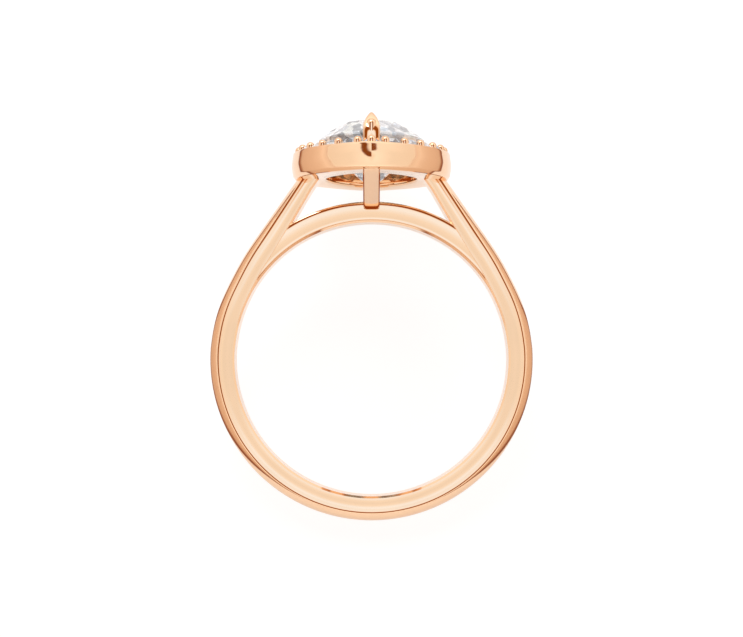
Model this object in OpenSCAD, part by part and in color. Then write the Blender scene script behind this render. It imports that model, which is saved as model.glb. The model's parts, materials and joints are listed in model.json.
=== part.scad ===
// Marquise halo ring with cathedral shoulders.
// Modelled upright (Z up to the head, Y along the finger) and then laid on its side.

/* [Band] */
// Diameter of the finger hole
finger_d = 16.5; // [15:0.1:20]
// Width of the band along the finger
band_w = 2.4; // [2:0.1:3]
// Thickness of the flat-sided part of the band
band_face = 0.98; // [0.8:0.02:1.2]
// Height of the rounded outer side of the band
band_dome = 0.55; // [0.4:0.01:0.65]
// Bevel at both edges of the finger hole
hole_bevel = 0.12; // [0.05:0.01:0.2]

/* [Shoulders] */
// Lean of the straight shoulder from the vertical
arm_lean = 35; // [34:0.5:36]
// Distance by which the straight shoulder's outer line passes outside the band
arm_out = 0.18; // [0.12:0.01:0.24]
// Length from the place where that line passes the band to where the bend ends
arm_foot = 1.76; // [1.6:0.02:1.9]
// Radius of the easy bend between the band and the straight shoulder
arm_bend_r = 16; // [15:0.25:17]
// Thickness of a shoulder where it meets the halo
arm_head_t = 1.15; // [1:0.05:1.3]

/* [Bridge] */
// Thickness of the bridge over the finger
bridge_t = 1.25; // [1.1:0.05:1.4]
// Bevel on the bridge's outer edges
bridge_bevel = 0.1; // [0.05:0.01:0.15]

/* [Halo] */
// Width of the halo across the finger
halo_w = 9.7; // [9.4:0.1:10.2]
// Length of the halo along the finger, from tip to tip
halo_l = 14.9; // [14.4:0.1:15.6]
// Height of the halo's wall
halo_h = 1.6; // [1.4:0.05:1.8]
// Free height between the bridge and the halo's underside
halo_gap = 1.35; // [1.1:0.05:1.6]
// Bulge of the halo's wall at mid height
wall_bulge = 0.1; // [0.02:0.01:0.15]
// Rounding of the wall's upper and lower edges
wall_round = 0.14; // [0.05:0.01:0.2]
// Width of the metal from the wall to the opening behind the centre stone
rail_w = 2.11; // [2:0.02:2.3]
// Bevel around the lower edge of the opening
opening_bevel = 0.14; // [0.05:0.01:0.2]

/* [Centre stone] */
// Width of the centre stone
stone_w = 6.45; // [6.2:0.05:6.6]
// Distance from the halo's tip to the centre stone's tip
stone_tip_inset = 1.875; // [1.85:0.005:2]
// Height of the centre stone's girdle above the halo's top
stone_lift = 0.72; // [0.6:0.02:0.9]
// Thickness of the centre stone's girdle
stone_girdle = 0.1; // [0.05:0.01:0.15]
// Height of the centre stone's crown
stone_crown = 1; // [0.8:0.02:1.1]
// Depth of the centre stone's pavilion
stone_pavilion = 2.7; // [2.4:0.05:2.9]
// Share of the centre stone's width that its table takes
stone_table = 0.57; // [0.5:0.01:0.62]

/* [Halo stones] */
// Diameter of a small round stone
pave_d = 1.15; // [1:0.01:1.2]
// Diameter of the small stone at each tip
tip_pave_d = 0.9; // [0.8:0.01:0.95]
// Small stones along each side of the halo, an odd number
pave_side_n = 11; // [9:2:11]
// Distance from the wall to the middle of the row of small stones
pave_inset = 0.85; // [0.8:0.01:0.9]
// Distance from the halo's tip to the middle of the tip stone
tip_pave_inset = 1; // [0.95:0.01:1.05]
// Height of a small stone's girdle above the halo's top
pave_lift = 0.05; // [0.02:0.01:0.1]
// Free gap between every stone and its seat
stone_gap = 0.03; // [0.02:0.005:0.05]

/* [Beads] */
// Diameter of a bead between the small stones
bead_d = 0.44; // [0.36:0.01:0.46]
// Diameter of the bead at each tip
tip_bead_d = 0.5; // [0.4:0.01:0.56]
// Height of the beads above the halo's top
bead_rise = 0.37; // [0.3:0.01:0.42]
// Distance from the wall to the middle of the outer row of beads
bead_inset = 0.45; // [0.4:0.01:0.5]
// Distance from the wall to the middle of the inner row of beads
inner_bead_inset = 1.25; // [1.2:0.01:1.3]

/* [Claws] */
// Width of a claw
claw_w = 1; // [0.8:0.02:1.1]
// Height of a claw's point above the centre stone's girdle
claw_rise = 1.2; // [1:0.02:1.3]
// Reach of a claw over the centre stone's tip
claw_reach = 0.95; // [0.7:0.05:1.2]
// Radius of the ridge on a claw's outer side
claw_ridge_r = 0.29; // [0.2:0.01:0.35]

/* [Struts] */
// Width of a strut
strut_w = 1; // [0.8:0.05:1.1]
// Thickness of a strut
strut_t = 0.8; // [0.7:0.05:0.9]
// Rounding of a strut's edges
strut_round = 0.3; // [0.2:0.01:0.32]
// Distance from the halo's tip to the place where a strut leaves its underside
strut_head_inset = 0.35; // [0.32:0.01:0.5]
// Depth of a strut's foot below the bridge's outer side
strut_foot_drop = 0.55; // [0.45:0.01:0.65]

/* [Hidden] */
// Smoothness of the large rounds, the small rounds and the beads
big_fn = 180;
small_fn = 48;
bead_fn = 24;
// Steps in each rounded edge of the halo's wall, and in its bulge
round_steps = 4;
bulge_steps = 6;
// Depth by which parts run into each other where they are soldered
bite = 0.3;
// Overrun of every cutting shape past the metal
over = 1;
// Share of the girdle's size and of the depth at the lower facets' inner corners
keel_share = 0.24;
keel_depth = 0.8;
// Share of the crown's height at the star facets' corners, and how far they bulge out
star_share = 0.5;
star_bulge = 0.03;
// Share of a claw's depth at which its inner side stands on the halo, and its ridge's height
claw_heel_share = 0.38;
claw_ridge_share = 0.4;
// Share of the flat-sided part that the dome and the bends run into
bend_share = 0.45;
// Angles above the lean of the shoulders at which the dome ends and the bridge's cap starts
dome_turn = 3;
bridge_turn = 5;
// Overhang of a tip bead past the halo's flat top
tip_bead_over = 0.1;
// Length by which a strut's upper end runs into the halo
strut_bite = 0.05;
// Main facets around a stone, and corners on the girdles of the large and small stones
mains = 8;
stone_corners = 32;
pave_corners = 16;
// A small stone's girdle, crown and pavilion as shares of its diameter
pave_girdle_share = 0.04;
pave_crown_share = 0.2;
pave_pavilion_share = 0.43;
pave_table_share = 0.56;

finger_r = finger_d / 2;
band_half = band_w / 2;
band_t = band_face + band_dome;
face_r = finger_r + band_face;
band_r = finger_r + band_t;
bridge_r = finger_r + bridge_t;
// Radius of the dome's arc, from its width and height
dome_r = (band_half * band_half + band_dome * band_dome) / (2 * band_dome);

halo_bottom = bridge_r + halo_gap;
halo_top = halo_bottom + halo_h;
girdle_z = halo_top + stone_lift;

// A pointed oval of half width w and half length l is made of two arcs: their radius,
// and the distance of their middles from the centre line
function lens_r(w, l) = (w * w + l * l) / (2 * w);
function lens_c(w, l) = lens_r(w, l) - w;
// Half length of the halo's oval moved in by the distance e
function tip_at(e) = sqrt(pow(halo_r - e, 2) - halo_c * halo_c);

halo_r = lens_r(halo_w / 2, halo_l / 2);
halo_c = lens_c(halo_w / 2, halo_l / 2);
halo_tip = halo_l / 2;
stone_l = halo_l - 2 * stone_tip_inset;

// Pitch of the small stones, as an angle seen from the middle of their arc
row_r = halo_r - pave_inset;
row_pitch = acos(halo_c / row_r) * 2 / (pave_side_n + 1);
side_last = (pave_side_n - 1) / 2;

// Outer line of the straight shoulder, and the length of its free stretch
arm_off = band_r + arm_out;
arm_len = (halo_bottom - arm_off * sin(arm_lean)) / cos(arm_lean) - arm_foot;
// The bend turns back until it is deepest inside the band
arm_turn = atan2(arm_foot, arm_bend_r - arm_off);
// Depth to which the bend and the band's dome run into the hoop
bend_depth = band_dome + bend_share * band_face;
// The band's dome ends inside the shoulders, and so does the bridge's cap
dome_end = arm_lean + dome_turn;
bridge_start = arm_lean + bridge_turn;

// Section of the halo's wall: distance in from its widest line, height above the underside
wall_low = [for (i = [0:round_steps])
    let (a = 90 - 90 * i / round_steps)
    [wall_bulge + wall_round * (1 - cos(a)), wall_round * (1 - sin(a))]];
wall_mid = [for (i = [1:bulge_steps - 1])
    let (t = i / bulge_steps)
    [wall_bulge * pow(2 * t - 1, 2), wall_round + t * (halo_h - 2 * wall_round)]];
wall_high = [for (i = [round_steps:-1:0]) [wall_low[i][0], halo_h - wall_low[i][1]]];
wall_section = concat(wall_low, wall_mid, wall_high);

// The tip stone, the claw inside it and the bead outside it, as distances from the middle
tip_pave_y = halo_tip - tip_pave_inset;
claw_y = tip_pave_y - tip_pave_d / 2 - 2 * stone_gap;
tip_bead_y = tip_at(wall_bulge + wall_round) - tip_bead_d / 2 + tip_bead_over;
nose_y = stone_l / 2 - claw_reach;

// Claw seen from the side: share of the way from its nose to its outer side, share of its
// height above the girdle
claw_side_shares = [
    [0.94, 0.15],
    [0.81, 0.6],
    [0.54, 1],
    [0.23, 0.95],
    [0, 0.7],
    [0, 0.3],
    [claw_heel_share, 0]
];
claw_side = [for (p = claw_side_shares)
    [nose_y + p[0] * (claw_y - nose_y), p[1] * claw_rise]];
// Claw seen from the front: share of its half width, share of its height above the girdle
claw_front_shares = [[1, 0.4], [0.68, 0.7], [0.3, 0.9], [0, 1]];
claw_front = [for (p = claw_front_shares) [p[0] * claw_w / 2, p[1] * claw_rise]];
claw_root = -stone_lift - bite;

// Slant of a strut's lower side, from the bridge's face to the underside of the halo
strut_y0 = band_half;
strut_z0 = bridge_r - strut_foot_drop;
strut_y1 = halo_tip - strut_head_inset;
strut_slant = atan2(halo_bottom - strut_z0, strut_y1 - strut_y0);

// The ring rests on the corner of its band and on the halo's far tip
rest_y = band_half;
rest_z = -face_r;
tilt = max([for (p = wall_section)
    atan((tip_at(p[0]) - rest_y) / (halo_bottom + p[1] - rest_z))]);
floor_z = rest_z * sin(tilt) - rest_y * cos(tilt);
// Both ends of the laid ring, which put its origin in the middle of what it covers
low_end = -((band_r - dome_r) * cos(tilt) + dome_r);
high_end = max([for (p = claw_side) (girdle_z + p[1]) * cos(tilt) + p[0] * sin(tilt)]);

pave_n = 2 * pave_side_n + 2;
function pave_name(i) = str("halo_stone_", i < 10 ? "0" : "", i);

// Place of a small stone: [x, y, diameter]; 1 and the middle one stand at the tips
function pave_place(i) =
    i == 1 ? [0, -tip_pave_y, tip_pave_d]
    : i == pave_side_n + 2 ? [0, tip_pave_y, tip_pave_d]
    : i < pave_side_n + 2 ? side_place(i - 2 - side_last, 1, pave_inset)
    : side_place(side_last - (i - pave_side_n - 3), -1, pave_inset);
function side_place(k, side, e) = [
    side * ((halo_r - e) * cos(k * row_pitch) - halo_c),
    (halo_r - e) * sin(k * row_pitch),
    pave_d
];

// Corner s (0 to 1 around, both tips at 0 and a half) of a pointed oval; a circle if w = l
function oval_point(w, l, s, z) =
    let (r = lens_r(w, l), c = lens_c(w, l), half = acos(c / r), t = s < 0.5 ? s : s - 0.5)
    let (a = half * (1 - 4 * t), side = s < 0.5 ? 1 : -1)
    [side * (r * cos(a) - c), side * r * sin(a), z];
function oval_ring(w, l, n, z, shift = 0) =
    [for (i = [0:n - 1]) oval_point(w, l, ((i + shift) % n) / n, z)];

module laid() {
    translate([0, -(low_end + high_end) / 2, -floor_z])
        rotate([tilt - 90, 0, 0])
            children();
}

module both_sides() {
    children();
    mirror([1, 0, 0]) children();
}

module both_tips() {
    children();
    mirror([0, 1, 0]) children();
}

// Turns a section drawn as [radius, finger direction] about the finger's axis
module about_finger(from, to) {
    rotate([90, 0, 0])
        rotate([0, 0, from])
            rotate_extrude(angle = to - from, $fn = big_fn)
                children();
}

// Section of the outer side, its crest at x = 0 and its depth towards negative x
module outer_section(depth) {
    intersection() {
        translate([-dome_r, 0]) circle(r = dome_r, $fn = big_fn);
        translate([-depth, -band_half]) square([depth, band_w]);
    }
}

module hoop() {
    about_finger(0, 360)
        polygon([
            [finger_r, -band_half + hole_bevel],
            [finger_r + hole_bevel, -band_half],
            [face_r, -band_half],
            [face_r, band_half],
            [finger_r + hole_bevel, band_half],
            [finger_r, band_half - hole_bevel]
        ]);
    about_finger(180 - dome_end, 360 + dome_end)
        translate([band_r, 0]) outer_section(bend_depth);
}

// An easy bend, then a straight run that thins from the band's thickness to arm_head_t
module shoulder() {
    taper = (band_t - arm_head_t) / arm_len;
    rotate([0, -arm_lean, 0])
        translate([arm_off, 0, arm_foot]) {
            translate([-arm_bend_r, 0, 0])
                rotate([90, 0, 0])
                    mirror([0, 1, 0])
                        rotate_extrude(angle = arm_turn, $fn = big_fn)
                            translate([arm_bend_r, 0]) outer_section(bend_depth);
            intersection() {
                linear_extrude(height = arm_len + arm_head_t * tan(arm_lean) + bite)
                    outer_section(band_t + bite);
                rotate([90, 0, 0])
                    linear_extrude(height = band_w + 2 * over, center = true)
                        polygon([
                            [over, -over],
                            [over, 2 * arm_len],
                            [-arm_head_t, 2 * arm_len],
                            [-arm_head_t, arm_len],
                            [-band_t - taper * over, -over]
                        ]);
            }
        }
}

module bridge() {
    about_finger(bridge_start, 180 - bridge_start)
        polygon([
            [face_r - bridge_bevel, -band_half],
            [bridge_r - bridge_bevel, -band_half],
            [bridge_r, -band_half + bridge_bevel],
            [bridge_r, band_half - bridge_bevel],
            [bridge_r - bridge_bevel, band_half],
            [face_r - bridge_bevel, band_half]
        ]);
}

// A pointed oval whose side follows a section; the two turned halves meet in a crease
module oval_from(section) {
    intersection() {
        translate([-halo_c, 0, 0]) rotate_extrude($fn = big_fn) polygon(section);
        translate([halo_c, 0, 0]) rotate_extrude($fn = big_fn) polygon(section);
    }
}

module halo_plate() {
    opening_r = halo_r - rail_w;
    difference() {
        translate([0, 0, halo_bottom])
            oval_from(concat(
                [[0, 0]],
                [for (p = wall_section) [halo_r - p[0], p[1]]],
                [[0, halo_h]]
            ));
        translate([0, 0, halo_bottom])
            oval_from([
                [0, -over],
                [opening_r + opening_bevel, -over],
                [opening_r + opening_bevel, 0],
                [opening_r, opening_bevel],
                [opening_r, halo_h + over],
                [0, halo_h + over]
            ]);
    }
}

module bead(d) {
    base = bead_rise - d / 2 + bite;
    translate([0, 0, halo_top - bite]) cylinder(h = base, d = d, $fn = bead_fn);
    translate([0, 0, halo_top - bite + base]) sphere(d = d, $fn = bead_fn);
}

module beads() {
    for (k = [-side_last - 0.5:1:side_last + 0.5]) {
        place = side_place(k, 1, bead_inset);
        both_sides() translate([place[0], place[1], 0]) bead(bead_d);
    }
    for (k = [-side_last + 0.5:1:side_last - 0.5]) {
        place = side_place(k, 1, inner_bead_inset);
        both_sides() translate([place[0], place[1], 0]) bead(bead_d);
    }
    both_tips() translate([0, -tip_bead_y, 0]) bead(tip_bead_d);
}

module claw() {
    outer_y = claw_side[0][0];
    heel_y = claw_side[len(claw_side) - 1][0];
    last = len(claw_front) - 1;
    ridge_h = claw_ridge_share * claw_rise - claw_root;
    translate([0, 0, girdle_z]) {
        intersection() {
            rotate([90, 0, -90])
                linear_extrude(height = 2 * claw_w, center = true)
                    polygon(concat([[heel_y, claw_root], [outer_y, claw_root]], claw_side));
            rotate([90, 0, 0])
                linear_extrude(height = halo_l)
                    polygon(concat(
                        [[claw_w / 2, claw_root - over]],
                        claw_front,
                        [for (i = [last - 1:-1:0]) [-claw_front[i][0], claw_front[i][1]]],
                        [[-claw_w / 2, claw_root - over]]
                    ));
        }
        translate([0, claw_ridge_r - claw_y, claw_root]) {
            cylinder(h = ridge_h, r = claw_ridge_r, $fn = small_fn);
            translate([0, 0, ridge_h]) sphere(r = claw_ridge_r, $fn = small_fn);
        }
    }
}

module strut_section() {
    flat_w = strut_w - 2 * strut_round;
    flat_t = strut_t - 2 * strut_round;
    translate([-strut_w / 2, strut_round]) square([strut_w, flat_t]);
    translate([-flat_w / 2, 0]) square([flat_w, strut_t]);
    for (x = [-flat_w / 2, flat_w / 2], y = [strut_round, strut_t - strut_round])
        translate([x, y]) circle(r = strut_round, $fn = small_fn);
}

module strut() {
    tail = strut_y0 / cos(strut_slant);
    reach = (strut_y1 - strut_y0) / cos(strut_slant) + strut_bite;
    translate([0, -strut_y0, strut_z0])
        rotate([90 - strut_slant, 0, 0])
            translate([0, 0, -tail])
                linear_extrude(height = tail + reach)
                    strut_section();
}

// Room for a small stone: its pavilion below the girdle, a plain hole above it
module pave_seat(d) {
    seat_r = d / 2 + stone_gap;
    seat_z = halo_top + pave_lift - pave_girdle_share * d - stone_gap;
    translate([0, 0, seat_z])
        rotate_extrude($fn = small_fn)
            polygon([
                [0, -pave_pavilion_share * d],
                [stone_gap, -pave_pavilion_share * d],
                [seat_r, 0],
                [seat_r, halo_h],
                [0, halo_h]
            ]);
}

module mounting() {
    color([0.93, 0.76, 0.6])
        laid() {
            difference() {
                union() {
                    hoop();
                    both_sides() shoulder();
                    bridge();
                    halo_plate();
                    beads();
                    both_tips() {
                        claw();
                        strut();
                    }
                }
                for (i = [1:pave_n]) {
                    place = pave_place(i);
                    translate([place[0], place[1], 0]) pave_seat(place[2]);
                }
                translate([0, 0, girdle_z])
                    brilliant(
                        stone_w / 2, stone_l / 2, stone_girdle, stone_crown, stone_pavilion,
                        stone_table, stone_corners, stone_gap
                    );
            }
        }
}

// A cut stone: table, star corners, girdle, lower corners and culet, grown by a gap
module brilliant(w, l, girdle, crown, pavilion, table, corners, grow = 0) {
    up = girdle / 2 + grow;
    star = table + (1 - table) * (1 - star_share) + star_bulge;
    rings = concat(
        oval_ring(table * w + grow, table * l + grow, mains, up + crown),
        oval_ring(star * w + grow, star * l + grow, mains, up + crown * star_share, 0.5),
        oval_ring(w + grow, l + grow, corners, up),
        oval_ring(w + grow, l + grow, corners, -up),
        oval_ring(keel_share * w + grow, keel_share * l + grow, mains,
            -up - pavilion * keel_depth, 0.5),
        [[0, 0, -up - pavilion]]
    );
    hull()
        polyhedron(rings, [[for (i = [0:len(rings) - 1]) i]]);
}

module centre_stone() {
    color([0.92, 0.94, 0.96, 0.8])
        laid()
            translate([0, 0, girdle_z])
                brilliant(
                    stone_w / 2, stone_l / 2, stone_girdle, stone_crown, stone_pavilion,
                    stone_table, stone_corners
                );
}

module halo_stone(i) {
    place = pave_place(i);
    d = place[2];
    color([0.9, 0.93, 0.97, 0.8])
        laid()
            translate([place[0], place[1], halo_top + pave_lift - pave_girdle_share * d / 2])
                brilliant(
                    d / 2, d / 2, pave_girdle_share * d, pave_crown_share * d,
                    pave_pavilion_share * d, pave_table_share, pave_corners
                );
}

mounting();
centre_stone();
for (i = [1:pave_n])
    halo_stone(i);
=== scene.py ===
"""Marquise halo ring in polished rose gold with a pale centre stone, lying on its side."""
import json
import math

import bmesh
import bpy
from bpy.props import FloatProperty, FloatVectorProperty, IntProperty, PointerProperty
from mathutils import Matrix, Vector


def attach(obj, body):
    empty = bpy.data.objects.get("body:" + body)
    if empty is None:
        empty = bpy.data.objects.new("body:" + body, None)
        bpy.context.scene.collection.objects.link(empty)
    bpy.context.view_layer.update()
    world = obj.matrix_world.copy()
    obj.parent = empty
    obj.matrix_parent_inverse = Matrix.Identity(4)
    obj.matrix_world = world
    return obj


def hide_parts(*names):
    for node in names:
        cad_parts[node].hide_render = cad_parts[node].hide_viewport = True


bl_info = {
    "name": "Marquise halo ring",
    "version": (1, 0, 0),
    "blender": (4, 5, 0),
    "location": "View3D > Sidebar > Ring",
    "description": "Dresses the packed halo ring in rose gold and cut stones",
    "category": "Object",
}

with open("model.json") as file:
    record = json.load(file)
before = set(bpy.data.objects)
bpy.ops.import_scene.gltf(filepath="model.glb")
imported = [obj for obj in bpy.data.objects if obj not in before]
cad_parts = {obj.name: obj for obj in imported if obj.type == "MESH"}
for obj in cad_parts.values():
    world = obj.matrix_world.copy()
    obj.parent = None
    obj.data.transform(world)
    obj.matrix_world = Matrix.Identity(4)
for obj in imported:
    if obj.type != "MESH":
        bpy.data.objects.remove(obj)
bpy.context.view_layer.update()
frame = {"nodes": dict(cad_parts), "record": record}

# The finger hole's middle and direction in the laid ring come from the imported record.
HOLE = next(m for m in frame["record"]["mounts"] if m["name"] == "finger_hole")
HOLE_MIDDLE = Vector(HOLE["pos_m"])
HOLE_AXIS = Vector(HOLE["axis"])
TILT = math.atan2(-HOLE_AXIS.y, HOLE_AXIS.z)

# Pieces are modelled upright, head up, at a thousand times life size, so that bevels of a few
# hundredths of a millimetre stay exact. LAID turns them onto their side at life size.
MM = 0.001
UPRIGHT = Matrix.Translation(HOLE_MIDDLE) @ Matrix.Rotation(TILT - math.pi / 2, 4, "X")
LAID = UPRIGHT @ Matrix.Scale(MM, 4)

# Measures of the part's source, in millimetres. Heights count from the finger's axis, and
# insets from the halo's wall or tip.
FINGER_R = 8.25
BAND_HALF = 1.2  # half the band's width along the finger
BAND_T = 1.53
DOME = 0.55  # height of the band's rounded outer side
CREST_R = FINGER_R + BAND_T
BEND_START = 29.7  # degrees up the band at which the bend to the shoulder starts
BEND_TURN = 9.56  # degrees that the bend turns
BEND_R = 16
ARM_LEAN = math.radians(35)  # the straight shoulder's lean from the vertical
ARM_OFF = CREST_R + 0.18  # distance of the shoulder's crest line from the finger's axis
ARM_FOOT = 1.76  # place on that line at which the straight part starts
ARM_HEAD_T = 1.15  # the shoulder's thickness at the halo
ARM_BITE = 0.25  # length by which the shoulder runs into the halo
BRIDGE_R = 9.5
BRIDGE_BEVEL = 0.1
HALO_BOTTOM = 10.85
HALO_H = 1.6
HALO_TOP = HALO_BOTTOM + HALO_H
HALO_HALF_W = 4.85
HALO_TIP = 7.45  # half the halo's length
HALO_R = (HALO_HALF_W ** 2 + HALO_TIP ** 2) / (2 * HALO_HALF_W)  # radius of its two arcs
HALO_C = HALO_R - HALO_HALF_W  # distance of the arcs' middles from the centre line
HALO_EDGE = 0.24  # inset at which the halo's flat top starts
RAIL_W = 2.11  # width of the metal between the wall and the opening
ARM_LEN = (HALO_BOTTOM - ARM_OFF * math.sin(ARM_LEAN)) / math.cos(ARM_LEAN) - ARM_FOOT
STONE_L = 11.15
STONE_LIFT = 0.72  # the centre stone's girdle above the halo's top
GIRDLE_Z = HALO_TOP + STONE_LIFT
SIDE_STONES = 11
PAVE_D = 1.15
TIP_PAVE_D = 0.9
PAVE_INSET = 0.85
TIP_PAVE_INSET = 1
PAVE_LIFT = 0.05  # a small stone's girdle above the halo's top
PAVE_GIRDLE_SHARE = 0.04  # girdle and pavilion as shares of a small stone's diameter
PAVE_PAVILION_SHARE = 0.43
PITCH = math.acos(HALO_C / (HALO_R - PAVE_INSET)) * 2 / (SIDE_STONES + 1)
BEAD_INSETS = (0.45, 1.25)  # the outer and the inner row
TIP_BEAD_D = 0.5
TIP_BEAD_OVER = 0.1  # overhang of a tip bead past the halo's flat top
CLAW_RISE = 1.2  # a claw's point above the centre stone's girdle
CLAW_REACH = 0.95  # its reach over the stone's tip
CLAW_RIDGE_R = 0.29
CLAW_RIDGE_SHARE = 0.4  # the ridge's height as a share of the claw's rise
STRUT_FOOT_DROP = 0.55  # depth of a strut's foot below the bridge's outer side
STRUT_HEAD_INSET = 0.35
BITE = 0.3  # depth by which soldered parts run into each other
GAP = 0.03  # free gap between a stone and its seat

# Section points that two pieces share, in millimetres: half the flat strip in the hole's wall,
# and the distance of the extra point that keeps a bevel's shading tight.
BORE_FLAT = 0.4
SUPPORT = 0.02


def linear(colour):
    """An sRGB hex colour as linear red, green, blue and alpha."""
    values = [int(colour[i:i + 2], 16) / 255 for i in (1, 3, 5)]
    return [v / 12.92 if v <= 0.04045 else ((v + 0.055) / 1.055) ** 2.4 for v in values] + [1.0]


def add_node(tree, kind, settings=None, links=None):
    """Adds a node, sets its properties, inputs and colour stops, and links its inputs."""
    node = tree.nodes.new(kind)
    for key, value in (settings or {}).items():
        if key == "stops":
            elements = node.color_ramp.elements
            for _ in range(len(value) - 2):
                elements.new(0.5)
            for element, (position, colour) in zip(elements, value):
                element.position = position
                element.color = list(colour[:3]) + [1]
        elif isinstance(key, int) or key in node.inputs:
            node.inputs[key].default_value = value
        else:
            setattr(node, key, value)
    for key, socket in (links or {}).items():
        tree.links.new(socket, node.inputs[key])
    return node


def deselect():
    """Deselects everything, the frame's own nodes among it."""
    for other in list(bpy.context.selected_objects):
        other.select_set(False)


def named(name):
    """The object that was just added or joined, with its name."""
    piece = bpy.context.object
    piece.name = name
    piece.data.name = name
    return piece


def active(piece):
    """Makes the piece the only selected object and the active one."""
    deselect()
    piece.select_set(True)
    bpy.context.view_layer.objects.active = piece


def select_where(piece, test, kind="FACE"):
    """In edit mode, selects the faces or edges that pass the test."""
    bpy.ops.mesh.select_mode(type=kind)
    bpy.ops.mesh.select_all(action="DESELECT")
    mesh = bmesh.from_edit_mesh(piece.data)
    for part in mesh.edges if kind == "EDGE" else mesh.faces:
        if test(part):
            part.select_set(True)
    mesh.select_flush_mode()
    bmesh.update_edit_mesh(piece.data)


def face_outwards(piece):
    """Recalculates the piece's normals, so that its faces point outwards."""
    active(piece)
    bpy.ops.object.mode_set(mode="EDIT")
    bpy.ops.mesh.select_all(action="SELECT")
    bpy.ops.mesh.normals_make_consistent(inside=False)
    bpy.ops.object.mode_set(mode="OBJECT")


def ring_of(count):
    """Starts a piece from a bare ring of vertices, in edit mode."""
    deselect()
    bpy.ops.mesh.primitive_circle_add(vertices=count, radius=1, fill_type="NOTHING")
    bpy.ops.object.mode_set(mode="EDIT")
    return bpy.context.object


def place_ring(piece, points):
    """Moves the newest ring of vertices, the last of the mesh, to the points."""
    mesh = bmesh.from_edit_mesh(piece.data)
    mesh.verts.ensure_lookup_table()
    start = len(mesh.verts) - len(points)
    for i, point in enumerate(points):
        mesh.verts[start + i].co = point
    bmesh.update_edit_mesh(piece.data)


def draw_along(name, rings):
    """Extrudes a section from ring to ring, and closes both ends."""
    piece = ring_of(len(rings[0]))
    named(name)
    place_ring(piece, rings[0])
    for points in rings[1:]:
        bpy.ops.mesh.extrude_region_move()
        place_ring(piece, points)
    count = len(rings[0])
    for first in (0, count * (len(rings) - 1)):
        bpy.ops.mesh.select_all(action="DESELECT")
        mesh = bmesh.from_edit_mesh(piece.data)
        mesh.verts.ensure_lookup_table()
        for edge in mesh.edges:
            if all(first <= v.index < first + count for v in edge.verts):
                edge.select_set(True)
        bmesh.update_edit_mesh(piece.data)
        bpy.ops.mesh.edge_face_add()
    bpy.ops.object.mode_set(mode="OBJECT")
    face_outwards(piece)
    return piece


def round_headed_post(name, sides, levels, radius, length):
    """A round post of that length below the origin, with half a ball on top."""
    deselect()
    bpy.ops.mesh.primitive_uv_sphere_add(
        segments=sides, ring_count=levels, radius=radius, location=(0, 0, 0))
    piece = named(name)
    bpy.ops.object.mode_set(mode="EDIT")
    select_where(piece, lambda f: f.calc_center_median().z < -0.001)
    bpy.ops.mesh.delete(type="FACE")
    select_where(piece, lambda e: len(e.link_faces) == 1, "EDGE")
    bpy.ops.mesh.extrude_region_move(TRANSFORM_OT_translate={"value": (0, 0, -length)})
    bpy.ops.mesh.edge_face_add()
    bpy.ops.object.mode_set(mode="OBJECT")
    face_outwards(piece)
    return piece


def bevel_edges(piece, width, angle):
    """Rounds the edges that are sharper than the angle, with an applied bevel."""
    active(piece)
    bevel = piece.modifiers.new("round", "BEVEL")
    bevel.width = width
    bevel.segments = 2
    bevel.limit_method = "ANGLE"
    bevel.angle_limit = math.radians(angle)
    bpy.ops.object.modifier_apply(modifier=bevel.name)


def joined(name, pieces):
    """Joins pieces into the first one."""
    active(pieces[0])
    for piece in pieces:
        piece.select_set(True)
    bpy.ops.object.join()
    return named(name)


def copied(piece, shift):
    """A copy with its own mesh, moved in the upright frame."""
    twin = piece.copy()
    twin.data = piece.data.copy()
    bpy.context.collection.objects.link(twin)
    twin.data.transform(Matrix.Translation(shift))
    return twin


def side_copies(piece, steps, inset):
    """Copies at both sides of the halo, that many steps of a stone from its middle."""
    radius = HALO_R - inset
    x = radius * math.cos(steps * PITCH) - HALO_C
    y = radius * math.sin(steps * PITCH)
    return [copied(piece, (x, y, 0)), copied(piece, (-x, y, 0))]


def tip_copies(piece, y):
    """Copies at both tips of the halo."""
    return [copied(piece, (0, -y, 0)), copied(piece, (0, y, 0))]


def mirrored_to_far_tip(piece):
    """Gives the piece its mirror image at the halo's other tip."""
    active(piece)
    mirror = piece.modifiers.new("mirror", "MIRROR")
    mirror.use_axis = [False, True, False]
    mirror.use_mirror_merge = False
    bpy.ops.object.modifier_apply(modifier=mirror.name)
    face_outwards(piece)


def lay(piece, smooth):
    """Turns a finished piece onto its side at life size, dresses it and lets it ride.
    Edges sharper than the angle stay crisp."""
    active(piece)
    piece.matrix_world = LAID
    bpy.ops.object.transform_apply(location=True, rotation=True, scale=True)
    bpy.ops.object.shade_smooth_by_angle(angle=math.radians(smooth))
    piece.data.materials.clear()
    piece.data.materials.append(polished_rose_gold())
    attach(piece, "root")
    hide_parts("mounting")
    piece.select_set(False)


def bare_material(name):
    """A new material with an empty node tree."""
    material = bpy.data.materials.new(name)
    material.use_nodes = True
    material.node_tree.nodes.clear()
    return material


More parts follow.
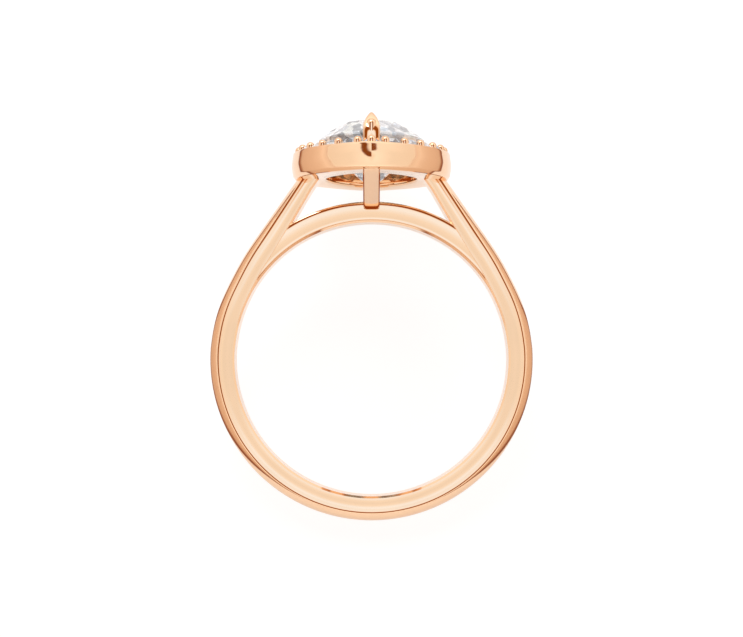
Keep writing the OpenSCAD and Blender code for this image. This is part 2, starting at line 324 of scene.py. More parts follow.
def polished_rose_gold():
    """Polished 14-carat rose gold, cast, filed and buffed to a mirror.

    A buffed metal mirrors its surroundings in its own warm colour, so its edges read as thin
    dark and bright lines. The buffing leaves a very slight waviness, and hairlines that are too
    fine to show: they are drawn about 0.5 mm apart and change the roughness alone.
    """
    name = "polished_rose_gold"
    if name in bpy.data.materials:
        return bpy.data.materials[name]
    finishes = bpy.context.scene.ring_finishes
    material = bare_material(name)
    tree = material.node_tree
    place = add_node(tree, "ShaderNodeTexCoord")
    # Waves 2.5 mm long, because the wheel is never pressed on quite evenly.
    wave = add_node(
        tree, "ShaderNodeTexNoise", {"Scale": 1 / (2.5 * MM), "Detail": 2.0},
        {"Vector": place.outputs["Object"]},
    )
    hairline = add_node(
        tree, "ShaderNodeTexNoise", {"Scale": 1 / (0.5 * MM), "Detail": 4.0},
        {"Vector": place.outputs["Object"]},
    )
    # The roughness varies by 30 % and the tone by 1 or 2 %.
    rough = add_node(
        tree, "ShaderNodeMapRange",
        {"From Min": 0.35, "From Max": 0.65, "To Min": finishes.gold_roughness * 0.7,
         "To Max": finishes.gold_roughness * 1.3},
        {"Value": hairline.outputs["Fac"]},
    )
    base = finishes.gold_colour
    tone = add_node(
        tree, "ShaderNodeValToRGB",
        {"stops": ((0.35, [v * 0.985 for v in base]), (0.65, [min(1, v * 1.01) for v in base]))},
        {"Fac": wave.outputs["Fac"]},
    )
    bump = add_node(
        tree, "ShaderNodeBump", {"Strength": 0.03, "Distance": 0.01 * MM},
        {"Height": wave.outputs["Fac"]},
    )
    shader = add_node(
        tree, "ShaderNodeBsdfPrincipled", {"Metallic": 1.0},
        {"Base Color": tone.outputs["Color"], "Roughness": rough.outputs["Result"],
         "Normal": bump.outputs["Normal"]},
    )
    add_node(tree, "ShaderNodeOutputMaterial", None, {"Surface": shader.outputs["BSDF"]})
    return material


def cut_diamond():
    """Brilliant-cut diamond: flat polished facets of a very high index.

    The light is thrown back and forth inside, so the eye sees a mosaic of white and grey
    shards, the mirror images of the facets in one another, a few of them coloured by the
    diamond's fire. Here that mosaic is painted into the stone's colour, as painted reflection.
    The shards are about 0.5 mm wide and 1 mm long, because a marquise draws them out along its
    length. A share of mirror and a faint painted glow stand for the light that enters from all
    round and takes too many turns to trace.
    """
    name = "cut_diamond"
    if name in bpy.data.materials:
        return bpy.data.materials[name]
    base = bpy.context.scene.ring_finishes.stone_colour
    material = bare_material(name)
    tree = material.node_tree
    place = add_node(tree, "ShaderNodeTexCoord")
    # The painted reflection pattern is turned upright with the ring, so that the shards lie
    # along the stone.
    upright = add_node(
        tree, "ShaderNodeMapping",
        {"vector_type": "TEXTURE", "Rotation": (TILT - math.pi / 2, 0, 0),
         "Scale": (0.5 * MM, 1.0 * MM, 0.5 * MM)},
        {"Vector": place.outputs["Object"]},
    )
    shards = add_node(
        tree, "ShaderNodeTexVoronoi", {"Scale": 1.0}, {"Vector": upright.outputs["Vector"]})
    # The cells' greys, whites and pale blue and green fire are painted reflection.
    painted_facet_reflections = add_node(
        tree, "ShaderNodeValToRGB",
        {"stops": (
            (0.2, linear("#6C7178")), (0.36, linear("#A4A8AE")), (0.46, linear("#C6CCD4")),
            (0.53, linear("#D4E4F6")), (0.58, linear("#ECF4EA")), (0.64, base), (1.0, base),
        )},
        {"Fac": shards.outputs["Color"]},
    )
    # The faint emission in the same colours is a painted glow.
    shader = add_node(
        tree, "ShaderNodeBsdfPrincipled",
        {"Transmission Weight": 0.68, "IOR": 2.42, "Roughness": 0.0, "Metallic": 0.2,
         "Emission Strength": 0.12},
        {"Base Color": painted_facet_reflections.outputs["Color"], "Emission Color": painted_facet_reflections.outputs["Color"]},
    )
    add_node(tree, "ShaderNodeOutputMaterial", None, {"Surface": shader.outputs["BSDF"]})
    return material


def backlit_acrylic():
    """White acrylic photo table with a warm grey bench to its left and right.

    The sheet glows softly, so the backdrop stays pale. The dark edge and the bench are painted
    into the sheet's colour for reflected rays alone, and the camera sees none of them: the dark
    edge is painted shade, and the bench a painted reflection. The metal mirrors the sheet, its
    dark edge and the bench, which start just outside the band, and further out beside the head.
    """
    material = bare_material("backlit_acrylic")
    tree = material.node_tree
    place = add_node(tree, "ShaderNodeTexCoord")
    split = add_node(
        tree, "ShaderNodeSeparateXYZ", None, {"Vector": place.outputs["Object"]})
    aside = add_node(
        tree, "ShaderNodeMath", {"operation": "ABSOLUTE"}, {0: split.outputs["X"]})
    # Beside the head the painted dark edge stands 3.2 mm further out on the left and 4.6 mm
    # on the right.
    headward = add_node(
        tree, "ShaderNodeMapRange",
        {"interpolation_type": "SMOOTHSTEP", "From Min": 0.0, "From Max": 5 * MM},
        {"Value": split.outputs["Y"]},
    )
    spread = add_node(
        tree, "ShaderNodeMapRange",
        {"From Min": -1 * MM, "From Max": 1 * MM, "To Min": 3.2 * MM, "To Max": 4.6 * MM},
        {"Value": split.outputs["X"]},
    )
    shift = add_node(
        tree, "ShaderNodeMath", {"operation": "MULTIPLY"},
        {0: headward.outputs["Result"], 1: spread.outputs["Result"]},
    )
    past = add_node(
        tree, "ShaderNodeMath", {"operation": "SUBTRACT"},
        {0: aside.outputs["Value"], 1: shift.outputs["Value"]},
    )
    # Distance from the middle, as a share of the 100 mm that the ramps cover: the sheet, its
    # dark edge of painted shade, and the bench of painted reflection that turns paler further
    # out.
    share = add_node(
        tree, "ShaderNodeMath", {"operation": "MULTIPLY", 1: 1 / (100 * MM)},
        {0: past.outputs["Value"]},
    )
    # For reflected rays alone the sheet's colour and glow are painted: a dark edge of painted
    # shade just outside the band, then a warm bench of painted reflection.
    tone, painted_reflection_glow = [
        add_node(tree, "ShaderNodeValToRGB", {"stops": stops}, {"Fac": share.outputs["Value"]})
        for stops in (
            ((0.096, linear("#C4C4C4")), (0.102, linear("#7A3A16")), (0.108, linear("#8A5230")),
             (0.13, linear("#C4AE9B")), (0.2, linear("#C8B5A5")), (1.0, linear("#E9E0D6"))),
            ((0.096, [0.9] * 3), (0.102, [0.2] * 3), (0.13, [0.42] * 3), (0.2, [0.45] * 3),
             (1.0, [0.3] * 3)),
        )
    ]
    rays = add_node(tree, "ShaderNodeLightPath")
    glow = add_node(
        tree, "ShaderNodeMapRange", {"To Max": 4.0},
        {"Value": rays.outputs["Is Camera Ray"], "To Min": painted_reflection_glow.outputs["Color"]},
    )
    # To the camera all of it is the plain sheet.
    seen = add_node(
        tree, "ShaderNodeMixRGB", {"Color2": linear("#808080")},
        {"Fac": rays.outputs["Is Camera Ray"], "Color1": tone.outputs["Color"]},
    )
    shader = add_node(
        tree, "ShaderNodeBsdfPrincipled", {"Roughness": 0.8},
        {"Base Color": seen.outputs["Color"], "Emission Color": seen.outputs["Color"],
         "Emission Strength": glow.outputs["Result"]},
    )
    add_node(tree, "ShaderNodeOutputMaterial", None, {"Surface": shader.outputs["BSDF"]})
    return material


class RingSizes(bpy.types.PropertyGroup):
    """Sizes of the detail that is added to the ring's metal."""

    edge_round: FloatProperty(
        name="Edge rounding", description="Rounding where the band's flat face meets its dome",
        default=0.14 * MM, min=0.0, unit="LENGTH", precision=6)
    hole_bevel: FloatProperty(
        name="Hole bevel", description="Bevel at both edges of the finger hole",
        default=0.12 * MM, min=0.0, unit="LENGTH", precision=6)
    face_bulge: FloatProperty(
        name="Face bulge", description="Height by which the band's flat faces bulge",
        default=0.03 * MM, min=0.0, unit="LENGTH", precision=6)
    arm_dome: FloatProperty(
        name="Shoulder dome", description="Height of the dome at the top of the shoulders",
        default=0.3 * MM, min=0.0, unit="LENGTH", precision=6)
    bead_diameter: FloatProperty(
        name="Bead diameter", description="Diameter of a bead between the small stones",
        default=0.48 * MM, min=0.0, unit="LENGTH", precision=6)
    bead_rise: FloatProperty(
        name="Bead rise", description="Height of the beads above the halo's top",
        default=0.37 * MM, min=0.0, unit="LENGTH", precision=6)
    strut_width: FloatProperty(
        name="Strut width", description="Width of a strut",
        default=1.0 * MM, min=0.0, unit="LENGTH", precision=6)
    strut_thickness: FloatProperty(
        name="Strut thickness", description="Thickness of a strut",
        default=0.8 * MM, min=0.0, unit="LENGTH", precision=6)
    claw_width: FloatProperty(
        name="Claw width", description="Width of a claw",
        default=1.0 * MM, min=0.0, unit="LENGTH", precision=6)
    bead_sides: IntProperty(
        name="Bead sides", description="Vertices around a bead", default=20, min=8)


class RingFinishes(bpy.types.PropertyGroup):
    """Colours and polish of the ring."""

    gold_colour: FloatVectorProperty(
        name="Rose gold", description="Colour of the polished rose gold", subtype="COLOR",
        size=3, min=0.0, max=1.0, default=linear("#FBD6B1")[:3])
    gold_roughness: FloatProperty(
        name="Gold roughness", description="Roughness of the buffed gold",
        default=0.06, min=0.0, max=1.0, subtype="FACTOR")
    stone_colour: FloatVectorProperty(
        name="Stone", description="Colour of the cut stones", subtype="COLOR",
        size=3, min=0.0, max=1.0, default=linear("#FCFDFF")[:3])


def section(thickness, dome, sizes, share):
    """The metal's section as [depth from its crest, place along the finger], all round.
    Its edge rounding widens by 60 % on the way up the shoulder, whose share is given."""
    bevel = sizes.hole_bevel / MM
    bulge = sizes.face_bulge / MM
    edge = sizes.edge_round / MM * (1 + 0.6 * min(1.0, 2.5 * share))
    face = BAND_HALF - bulge
    radius = (BAND_HALF ** 2 + dome ** 2) / (2 * dome)
    half = math.asin((face - 0.25 * edge) / radius)
    steps = 18
    arc = []
    for i in range(steps + 1):
        a = -half + 2 * half * i / steps
        arc.append([radius * (1 - math.cos(a)), radius * math.sin(a)])
    # The rounded edge between the dome and the face, as depth and setback in shares of it.
    crease = arc[-1][0]
    side = [
        [crease + deep * edge, face - back * edge] for deep, back in ((0.2, 0.12), (0.5, 0.02))
    ]
    side.append([crease + edge, BAND_HALF - 0.95 * bulge])
    # The bulged face, down to the bevel at the finger hole.
    start = crease + edge
    end = thickness - bevel
    steps = 7
    for i in range(1, steps):
        t = i / steps
        side.append([start + (end - start) * t, BAND_HALF - bulge * (2 * t - 1) ** 2])
    side += [
        [end, face],
        [thickness - SUPPORT, BAND_HALF - bevel - bulge + SUPPORT],
        [thickness, BAND_HALF - bevel - bulge],
        [thickness, BORE_FLAT],
    ]
    return arc + side + [[u, -y] for u, y in reversed(side)]


def shank_path():
    """Half the ring's path, from the bottom of the band up to the halo: at each step the crest's
    place, the outward direction, the thickness and the share of the way up the shoulder."""
    band_steps, bend_steps, arm_steps = 60, 12, 22
    bend_share = 0.25  # of the way up, where the bend ends
    lean_out = Vector((math.cos(ARM_LEAN), math.sin(ARM_LEAN)))
    lean_up = Vector((-math.sin(ARM_LEAN), math.cos(ARM_LEAN)))
    path = []
    for i in range(band_steps + 1):
        a = math.radians(-90 + i * (90 + BEND_START) / band_steps)
        out = Vector((math.cos(a), math.sin(a)))
        path.append([out * CREST_R, out, BAND_T, 0.0])
    middle = lean_out * (ARM_OFF - BEND_R) + lean_up * ARM_FOOT
    for i in range(1, bend_steps + 1):
        a = math.radians(-BEND_TURN * (1 - i / bend_steps))
        out = lean_out * math.cos(a) + lean_up * math.sin(a)
        path.append([middle + out * BEND_R, out, BAND_T, bend_share * i / bend_steps])
    length = ARM_LEN + ARM_HEAD_T * math.tan(ARM_LEAN) + ARM_BITE
    for i in range(1, arm_steps + 1):
        along = length * i / arm_steps
        share = min(1.0, along / ARM_LEN)
        crest = lean_out * ARM_OFF + lean_up * (ARM_FOOT + along)
        path.append([crest, lean_out, BAND_T + (ARM_HEAD_T - BAND_T) * share,
                     bend_share + (1 - bend_share) * share])
    # The bend is eased into the band and the shoulder, as a file leaves it.
    for _ in range(6):
        eased = [p[:] for p in path]
        for i in range(band_steps - 12, band_steps + bend_steps + 4):
            for j in (0, 1):
                eased[i][j] = (path[i - 1][j] + path[i][j] * 2 + path[i + 1][j]) / 4
        path = eased
    return path


def oval_points(inset, height, count):
    """Places along the halo's side at +X, from the near tip to the far one."""
    radius = HALO_R - inset
    half = math.acos(HALO_C / radius)
    points = []
    for i in range(count + 1):
        a = -half + 2 * half * i / count
        points.append((radius * math.cos(a) - HALO_C, radius * math.sin(a), height))
    return points


class RING_OT_stage(bpy.types.Operator):
    """Adds the pale table, the soft studio light and the camera at the photo's angle"""

    bl_idname = "ring.stage"
    bl_label = "Stage"

    def execute(self, context):
        scene = context.scene
        deselect()
        bpy.ops.mesh.primitive_plane_add(size=3.0, location=(0, 0, 0))
        table = named("photo_table")
        table.data.materials.append(backlit_acrylic())
        table.select_set(False)

        # The camera stands in front of the band on the finger's axis, aimed a little towards the
        # head. With its lens a millimetre of the ring takes 16.46 pixels of the photo's 743.
        distance = 115 * MM
        aim = math.radians(1.226)
        look = Vector((0, math.cos(aim), math.sin(aim)))
        above = Vector((0, -math.sin(aim), math.cos(aim)))
        turned = Matrix((
            (1, 0, 0, 0),
            (0, above.y, -look.y, 0),
            (0, above.z, -look.z, 0),
            (0, 0, 0, 1),
        ))
        data = bpy.data.cameras.new("camera")
        data.lens = 91.72
        data.sensor_width = 36
        data.clip_start = 0.005
        data.clip_end = 20
        camera = bpy.data.objects.new("camera", data)
        scene.collection.objects.link(camera)
        camera.matrix_world = UPRIGHT @ Matrix.Translation((0, -distance, 0)) @ turned
        scene.camera = camera

        # One soft lamp hangs before the ring, to its left and above its head.
        lamp = bpy.data.lights.new("key", "AREA")
        lamp.shape = "DISK"
        lamp.size = 120 * MM
        lamp.energy = 0.12
        holder = bpy.data.objects.new("key", lamp)
        scene.collection.objects.link(holder)
        spot = UPRIGHT @ (Vector((-40, -150, 190)) * MM)
        to_ring = (HOLE_MIDDLE - spot).to_track_quat("-Z", "Y")
        holder.matrix_world = Matrix.Translation(spot) @ to_ring.to_matrix().to_4x4()

        self.add_world(scene)
        scene.view_settings.view_transform = "Standard"
        scene.view_settings.look = "None"
        return {"FINISHED"}

    def towards(self, to_side, up):
        """A direction in the laid frame, in degrees to the right and up from the camera's."""
        side, lift = math.radians(to_side), math.radians(up)
        return UPRIGHT.to_3x3() @ Vector((
            math.sin(side) * math.cos(lift), -math.cos(side) * math.cos(lift), math.sin(lift)))

    def add_world(self, scene):
        """A soft white studio, brighter above and below the ring than at its sides. A ring of
        bronze flats around the camera draws the metal's edges, and two bronze cards draw the
        dark marks near the halo's tip."""
        world = bpy.data.worlds.new("studio")
        scene.world = world
        world.use_nodes = True
        tree = world.node_tree
        tree.nodes.clear()
        place = add_node(tree, "ShaderNodeTexCoord")
        head = self.towards(0, 90)
        card_top, card_foot = self.towards(-62, 32), self.towards(-48, -2)
        facing = [
            add_node(
                tree, "ShaderNodeVectorMath", {"operation": "DOT_PRODUCT", 1: vector},
                {0: place.outputs["Generated"]},
            ).outputs["Value"]
            for vector in (
                HOLE_AXIS, (1, 0, 0), head, card_top.cross(card_foot).normalized(),
                (card_top + card_foot).normalized(), self.towards(49.5, 20),
            )
        ]
        to_camera, to_right, to_head, off_card, to_card, to_small_card = facing
        turned = add_node(
            tree, "ShaderNodeMath", {"operation": "ARCCOSINE"}, {0: to_camera})
        angle = add_node(
            tree, "ShaderNodeMath", {"operation": "DIVIDE", 1: math.pi},
            {0: turned.outputs["Value"]},
        )
        across = add_node(tree, "ShaderNodeMath", {"operation": "ABSOLUTE"}, {0: to_right})
        upward = add_node(tree, "ShaderNodeMath", {"operation": "ABSOLUTE"}, {0: to_head})
        total = add_node(
            tree, "ShaderNodeMath", {"operation": "ADD"},
            {0: across.outputs["Value"], 1: upward.outputs["Value"]},
        )
        sideness = add_node(
            tree, "ShaderNodeMath", {"operation": "DIVIDE"},
            {0: across.outputs["Value"], 1: total.outputs["Value"]},
        )
        side = add_node(
            tree, "ShaderNodeMapRange",
            {"interpolation_type": "SMOOTHSTEP", "From Min": 0.5, "From Max": 0.85},
            {"Value": sideness.outputs["Value"]},
        )
        # The studio's colours by the angle in degrees from the camera's direction, first above
        # and below the ring, then to its left and right.
        bronze, copper = (0.3, 0.08, 0.012), (0.85, 0.5, 0.26)
        lengthwise, sideways = [
            add_node(
                tree, "ShaderNodeValToRGB",
                {"stops": [(degrees / 180, colour) for degrees, colour in stops]},
                {"Fac": angle.outputs["Value"]},
            )
            for stops in (
                ((0, (0.94, 0.94, 0.95)), (6, (1.0, 1.0, 1.0)), (12, (1.03, 1.22, 1.5)),
                 (18, (1.0, 1.08, 1.2)), (21, copper), (23, bronze), (42, bronze),
                 (45, copper), (50, (0.97, 0.92, 0.88)), (70, (1.3, 1.27, 1.24)),
                 (90, (1.0, 0.97, 0.95)), (180, (1.0, 0.98, 0.96))),
                ((0, (0.94, 0.94, 0.95)), (10, (0.92, 0.92, 0.92)), (17, (1.0, 0.99, 0.98)),
                 (20, copper), (22, bronze), (42, bronze), (45, copper),
                 (52, (1.15, 1.12, 1.1)), (68, (1.0, 0.95, 0.9)), (90, (0.98, 0.9, 0.83))),
            )
        ]
        colour = add_node(
            tree, "ShaderNodeMixRGB", None,
            {"Fac": side.outputs["Result"], "Color1": lengthwise.outputs["Color"],
             "Color2": sideways.outputs["Color"]},
        )
        # The slanting card is a strip about 6 degrees wide and 38 degrees long with soft edges,
        # and the small card is a disc 9 degrees across.
        off_strip = add_node(
            tree, "ShaderNodeMath", {"operation": "ABSOLUTE"}, {0: off_card})
        strip = add_node(
            tree, "ShaderNodeMapRange",
            {"interpolation_type": "SMOOTHSTEP", "From Min": math.sin(math.radians(1.8)),
             "From Max": math.sin(math.radians(3.8)), "To Min": 1.0, "To Max": 0.0},
            {"Value": off_strip.outputs["Value"]},
        )
        near_strip = add_node(
            tree, "ShaderNodeMapRange",
            {"interpolation_type": "SMOOTHSTEP", "From Min": math.cos(math.radians(21)),
             "From Max": math.cos(math.radians(17))},
            {"Value": to_card},
        )
        slanting = add_node(
            tree, "ShaderNodeMath", {"operation": "MULTIPLY"},
            {0: strip.outputs["Result"], 1: near_strip.outputs["Result"]},
        )
        small = add_node(
            tree, "ShaderNodeMapRange",
            {"interpolation_type": "SMOOTHSTEP", "From Min": math.cos(math.radians(5.5)),
             "From Max": math.cos(math.radians(3.5))},
            {"Value": to_small_card},
        )
        for card in (slanting.outputs["Value"], small.outputs["Result"]):
            colour = add_node(
                tree, "ShaderNodeMixRGB", {"Color2": (0.25, 0.07, 0.015, 1)},
                {"Fac": card, "Color1": colour.outputs["Color"]},
            )
        # To light that has passed through a stone, the studio on the head's side is a grid of
        # lamps. It gives the stones their sparkle, and the metal doesn't mirror it.
        grid = add_node(
            tree, "ShaderNodeTexChecker",
            {"Scale": 3.2, "Color1": (2.7, 2.8, 3.0, 1), "Color2": (0.1, 0.105, 0.115, 1)},
            {"Vector": place.outputs["Generated"]},
        )
        over = add_node(
            tree, "ShaderNodeMapRange",
            {"interpolation_type": "SMOOTHSTEP", "From Min": -0.35, "From Max": -0.2},
            {"Value": to_head},
        )
        rays = add_node(tree, "ShaderNodeLightPath")
        inside_stone = add_node(
            tree, "ShaderNodeMath", {"operation": "MULTIPLY"},
            {0: over.outputs["Result"], 1: rays.outputs["Is Transmission Ray"]},
        )
        lit = add_node(
            tree, "ShaderNodeMixRGB", None,
            {"Fac": inside_stone.outputs["Value"], "Color1": colour.outputs["Color"],
             "Color2": grid.outputs["Color"]},
        )
        studio = add_node(
            tree, "ShaderNodeBackground", {"Strength": 1.0}, {"Color": lit.outputs["Color"]})
        backdrop = add_node(
            tree, "ShaderNodeBackground", {"Strength": 1.0, "Color": (1, 1, 1, 1)})
        mixed = add_node(
            tree, "ShaderNodeMixShader", None,
            {0: rays.outputs["Is Camera Ray"], 1: studio.outputs["Background"],
             2: backdrop.outputs["Background"]},
        )
        add_node(tree, "ShaderNodeOutputWorld", None, {"Surface": mixed.outputs["Shader"]})


class RING_OT_shank(bpy.types.Operator):
    """Models the band and both shoulders as one drawn body with bulged faces and a dome"""

    bl_idname = "ring.shank"
    bl_label = "Shank"

    def execute(self, context):
        sizes = context.scene.ring_sizes
        half = shank_path()
        other_half = [
            (Vector((-crest.x, crest.y)), Vector((-out.x, out.y)), thickness, share)
            for crest, out, thickness, share in reversed(half[1:])
        ]
        rings = []
        for crest, out, thickness, share in other_half + half:
            dome = DOME + (sizes.arm_dome / MM - DOME) * share
            out = out.normalized()
            rings.append([
                (crest.x - u * out.x, y, crest.y - u * out.y)
                for u, y in section(thickness, dome, sizes, share)
            ])
        lay(draw_along("shank", rings), 24)
        return {"FINISHED"}


class RING_OT_bridge(bpy.types.Operator):
    """Models the low bridge over the finger, tucked behind the shoulders' faces"""

    bl_idname = "ring.bridge"
    bl_label = "Bridge"

    def execute(self, context):
        hole = context.scene.ring_sizes.hole_bevel / MM
        edge = BAND_HALF - 0.09  # its faces stand back behind the shoulders'
        lean = 0.035  # by which a face leans back at its top
        first = 26  # degrees above the horizontal at which it leaves the band
        cap, cap_drop = 18, 0.6  # degrees over which its ends sink, and how far
        steps, face_steps = 64, 8
        rings = []
        for i in range(steps + 1):
            degrees = first + (180 - 2 * first) * i / steps
            rise = min(1.0, (min(degrees, 180 - degrees) - first) / cap)
            top = BRIDGE_R - cap_drop * (1 - rise) ** 2
            outline = [
                (FINGER_R, BORE_FLAT), (FINGER_R, edge - hole),
                (FINGER_R + SUPPORT, edge - hole + SUPPORT), (FINGER_R + hole, edge),
            ]
            # The face is fullest a third of the way up. Above that it leans back more and more,
            # and mirrors the bright studio.
            low, high = FINGER_R + hole, top - BRIDGE_BEVEL
            for step in range(1, face_steps + 1):
                share = step / face_steps
                outline.append((low + (high - low) * share,
                                edge + lean * (1 - (1.55 * share - 0.55) ** 2)))
            outline += [
                (top - 0.03, edge - 0.035), (top, edge - BRIDGE_BEVEL), (top, BORE_FLAT),
            ]
            outline += [(r, -y) for r, y in reversed(outline)]
            a = math.radians(degrees)
            rings.append([(r * math.cos(a), y, r * math.sin(a)) for r, y in outline])
        lay(draw_along("bridge", rings), 24)
        return {"FINISHED"}


class RING_OT_halo(bpy.types.Operator):
    """Models the pointed halo plate with its opening, and cuts the stones' seats into it"""

    bl_idname = "ring.halo"
    bl_label = "Halo plate"

    def execute(self, context):
        # The rail's section as (inset, height above the halo's underside): up the wall from its
        # lower chamfer over the bulge, then down the opening to its lower bevel.
        wall = [
            (0.27, 0.0), (0.23, 0.02), (0.11, 0.17), (0.09, 0.21), (0.075, 0.26),
            (0.045, 0.44), (0.015, 0.62), (0.0, 0.8), (0.012, 1.02), (0.04, 1.23),
            (0.07, 1.44), (0.08, 1.52), (0.1, 1.565), (0.14, 1.592), (0.19, 1.6),
        ]
        opening = [
            (RAIL_W, HALO_H), (RAIL_W, 1.1), (RAIL_W, 0.6), (RAIL_W, 0.16),
            (RAIL_W - 0.02, 0.1), (RAIL_W - 0.1, 0.02), (RAIL_W - 0.16, 0.0),
        ]
        steps = 72
        columns = [oval_points(inset, HALO_BOTTOM + h, steps) for inset, h in wall + opening]
        rings = [[column[i] for column in columns] for i in range(steps + 1)]
        plate = draw_along("halo_plate", rings)
        # The closed ends at both tips come off, and the other side is joined on there.
        bpy.ops.object.mode_set(mode="EDIT")
        select_where(plate, lambda f: abs(f.calc_center_median().x) < 1e-4)
        bpy.ops.mesh.delete(type="FACE")
        bpy.ops.object.mode_set(mode="OBJECT")
        mirror = plate.modifiers.new("mirror", "MIRROR")
        mirror.use_clip = True
        mirror.merge_threshold = 0.0005
        bpy.ops.object.modifier_apply(modifier=mirror.name)
        face_outwards(plate)
        seats = self.seats()
        cut = plate.modifiers.new("seats", "BOOLEAN")
        cut.operation = "DIFFERENCE"
        cut.solver = "MANIFOLD"
        cut.object = seats
        active(plate)
        before = len(plate.data.vertices)
        bpy.ops.object.modifier_apply(modifier=cut.name)
        if len(plate.data.vertices) <= before:
            raise RuntimeError("the seats didn't cut the halo plate")
        bpy.data.objects.remove(seats)
        lay(plate, 24)
        return {"FINISHED"}

    def seats(self):
        """One body of all the rooms for the small stones."""
        first = self.seat(PAVE_D)
        tip = self.seat(TIP_PAVE_D)
        made = []
        last = (SIDE_STONES - 1) // 2
        for k in range(-last, last + 1):
            made += side_copies(first, k, PAVE_INSET)
        made += tip_copies(tip, HALO_TIP - TIP_PAVE_INSET)
        bpy.data.objects.remove(first)
        bpy.data.objects.remove(tip)
        return joined("seats", made)

    def seat(self, d):
        """The room for a stone: a cylinder, with a cone below that holds its pavilion."""
        floor = HALO_TOP + PAVE_LIFT - PAVE_GIRDLE_SHARE * d - GAP
        depth = PAVE_PAVILION_SHARE * d
        deselect()
        bpy.ops.mesh.primitive_cylinder_add(
            vertices=32, radius=d / 2 + GAP, depth=HALO_H, location=(0, 0, 0))
        piece = named("seat")
        piece.data.transform(Matrix.Translation((0, 0, floor + HALO_H / 2)))
        bpy.ops.object.mode_set(mode="EDIT")
        select_where(piece, lambda f: f.normal.z < -0.9)
        bpy.ops.mesh.extrude_region_move(TRANSFORM_OT_translate={"value": (0, 0, -depth)})
        bpy.ops.transform.resize(value=(0.06, 0.06, 1), center_override=(0, 0, floor - depth))
        bpy.ops.object.mode_set(mode="OBJECT")
        return piece


class RING_OT_beads(bpy.types.Operator):
    """Models one raised bead and copies it between the small stones and to the tips"""

    bl_idname = "ring.beads"
    bl_label = "Beads"

    def execute(self, context):
        sizes = context.scene.ring_sizes
        first = self.bead(sizes.bead_diameter / MM, sizes)
        tip = self.bead(TIP_BEAD_D, sizes)
        made = []
        for inset, count in zip(BEAD_INSETS, (SIDE_STONES + 1, SIDE_STONES - 1)):
            for i in range(count):
                made += side_copies(first, i - (count - 1) / 2, inset)
        flat_tip = math.sqrt((HALO_R - HALO_EDGE) ** 2 - HALO_C ** 2)
        made += tip_copies(tip, flat_tip - TIP_BEAD_D / 2 + TIP_BEAD_OVER)
        bpy.data.objects.remove(first)
        bpy.data.objects.remove(tip)
        lay(joined("halo_beads", made), 50)
        return {"FINISHED"}

    def bead(self, d, sizes):
        """A bead on its stem, which runs 0.2 mm into the halo."""
        rise = sizes.bead_rise / MM
        piece = round_headed_post("bead", sizes.bead_sides, 12, d / 2, rise - d / 2 + 0.2)
        piece.data.transform(Matrix.Translation((0, 0, HALO_TOP + rise - d / 2)))
        return piece


class RING_OT_claws(bpy.types.Operator):
    """Models the spear-shaped claw with its round ridge and mirrors it to the other tip"""

    bl_idname = "ring.claws"
    bl_label = "Claws"

    def execute(self, context):
        width = context.scene.ring_sizes.claw_width / MM
        rise = CLAW_RISE
        outer = HALO_TIP - TIP_PAVE_INSET - TIP_PAVE_D / 2 - 2 * GAP
        nose = STONE_L / 2 - CLAW_REACH
        reach = outer - nose
        root = -STONE_LIFT - BITE
        # The claw is an upright bar that leans over the stone: at each height the bar's front,
        # back and half width, as shares of its reach, of its reach and of its half width.
        levels = (
            (root, 1.0, 0.42, 1.0), (0.0, 1.0, 0.4, 1.0), (0.15 * rise, 0.985, 0.15, 1.0),
            (0.3 * rise, 0.95, 0.0, 1.0), (0.4 * rise, 0.9, 0.0, 0.98),
            (0.55 * rise, 0.84, 0.0, 0.84), (0.7 * rise, 0.76, 0.02, 0.66),
            (0.8 * rise, 0.7, 0.08, 0.5), (0.9 * rise, 0.63, 0.17, 0.3),
            (0.97 * rise, 0.57, 0.3, 0.12),
        )
        rings = []
        for z, front, back, share in levels:
            half = share * width / 2
            y_front = -(nose + reach * front)
            y_back = -(nose + reach * back)
            depth = y_back - y_front
            # Half the bar's outline, from the middle of its front to the middle of its back.
            outline = [
                (0, y_front), (half * 0.45, y_front + 0.015), (half * 0.86, y_front + 0.06),
                (half, y_front + 0.3 * depth), (half, y_front + 0.72 * depth),
                (half * 0.7, y_back), (0, y_back),
            ]
            outline += [(-x, y) for x, y in reversed(outline[1:-1])]
            rings.append([(x, y, z + GIRDLE_Z) for x, y in outline])
        body = draw_along("claw", rings)
        bevel_edges(body, 0.025, 25)
        ridge_top = CLAW_RIDGE_SHARE * CLAW_RISE
        ridge = round_headed_post("ridge", 32, 16, CLAW_RIDGE_R, ridge_top - root)
        ridge.data.transform(Matrix.Translation(
            (0, CLAW_RIDGE_R - outer, GIRDLE_Z + ridge_top)))
        piece = joined("claws", [body, ridge])
        mirrored_to_far_tip(piece)
        lay(piece, 28)
        return {"FINISHED"}


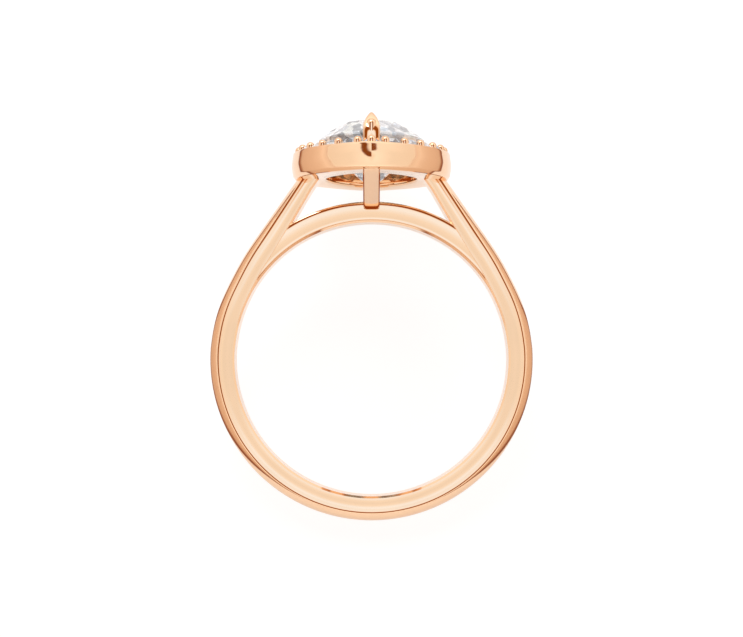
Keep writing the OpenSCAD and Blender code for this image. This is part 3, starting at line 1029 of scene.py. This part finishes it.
class RING_OT_struts(bpy.types.Operator):
    """Models the slanting strut that joins the halo's tip to the bridge, and its mirror image"""

    bl_idname = "ring.struts"
    bl_label = "Struts"

    def execute(self, context):
        sizes = context.scene.ring_sizes
        width = sizes.strut_width / MM
        thick = sizes.strut_thickness / MM
        start = Vector((0, -BAND_HALF, BRIDGE_R - STRUT_FOOT_DROP))
        end = Vector((0, -(HALO_TIP - STRUT_HEAD_INSET), HALO_BOTTOM))
        along = (end - start).normalized()
        up = Vector((0, along.z, -along.y))
        # Its section as (half width, height over its lower face), with rounded edges.
        half = width / 2
        flat = half - 0.16
        outline = [
            (flat, 0.0), (half - 0.08, 0.02), (half - 0.02, 0.08), (half, 0.2),
            (half, thick - 0.27), (half - 0.03, thick - 0.11), (half - 0.12, thick - 0.03),
            (flat, thick),
        ]
        outline += [(-x, h) for x, h in reversed(outline)]
        length = (end - start).length
        # Its foot starts 0.35 mm inside the bridge. Up to 0.5 mm outside it is slimmer by up to
        # 55 %, and lifted by up to 0.1 mm.
        foot_in, foot_out = 0.35, 0.5
        steps = 24
        rings = []
        for i in range(steps + 1):
            share = i / steps
            run = length * share ** 1.5 - foot_in * (1 - share)
            foot = max(0.0, foot_out - run) / (foot_in + foot_out)
            slim = 1 - 0.55 * foot ** 2
            base = start + along * run
            rings.append([base + up * (h + 0.1 * foot ** 2) + Vector((x * slim, 0, 0))
                          for x, h in outline])
        piece = draw_along("struts", rings)
        bevel_edges(piece, 0.02, 40)
        mirrored_to_far_tip(piece)
        lay(piece, 26)
        return {"FINISHED"}


class RING_OT_stones(bpy.types.Operator):
    """Gives every cut stone its diamond material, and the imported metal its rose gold"""

    bl_idname = "ring.stones"
    bl_label = "Stones"

    def execute(self, context):
        stones = [node for name, node in frame["nodes"].items() if "stone" in name]
        if len(stones) != 2 * SIDE_STONES + 3:
            raise RuntimeError("the frame doesn't have every side, tip and centre stone")
        for stone in stones:
            for slot in stone.material_slots:
                slot.material = cut_diamond()
        for slot in frame["nodes"]["mounting"].material_slots:
            slot.material = polished_rose_gold()
        return {"FINISHED"}


class RING_PT_panel(bpy.types.Panel):
    """Lists the ring's pieces in the sidebar"""

    bl_idname = "RING_PT_panel"
    bl_label = "Halo ring"
    bl_space_type = "VIEW_3D"
    bl_region_type = "UI"
    bl_category = "Ring"

    def draw(self, context):
        for group in (context.scene.ring_sizes, context.scene.ring_finishes):
            for name in group.bl_rna.properties.keys():
                if name not in {"rna_type", "name"}:
                    self.layout.prop(group, name)
        for operator in OPERATORS:
            self.layout.operator(operator.bl_idname)


OPERATORS = (
    RING_OT_stage,
    RING_OT_shank,
    RING_OT_bridge,
    RING_OT_halo,
    RING_OT_beads,
    RING_OT_claws,
    RING_OT_struts,
    RING_OT_stones,
)
CLASSES = (RingSizes, RingFinishes) + OPERATORS + (RING_PT_panel,)


def register():
    for item in CLASSES:
        bpy.utils.register_class(item)
    bpy.types.Scene.ring_sizes = PointerProperty(type=RingSizes)
    bpy.types.Scene.ring_finishes = PointerProperty(type=RingFinishes)


def unregister():
    del bpy.types.Scene.ring_finishes
    del bpy.types.Scene.ring_sizes
    for item in reversed(CLASSES):
        bpy.utils.unregister_class(item)


def main():
    register()
    bpy.ops.ring.stage()
    bpy.ops.ring.shank()
    bpy.ops.ring.bridge()
    bpy.ops.ring.halo()
    bpy.ops.ring.beads()
    bpy.ops.ring.claws()
    bpy.ops.ring.struts()
    bpy.ops.ring.stones()


if __name__ == "__main__":
    main()
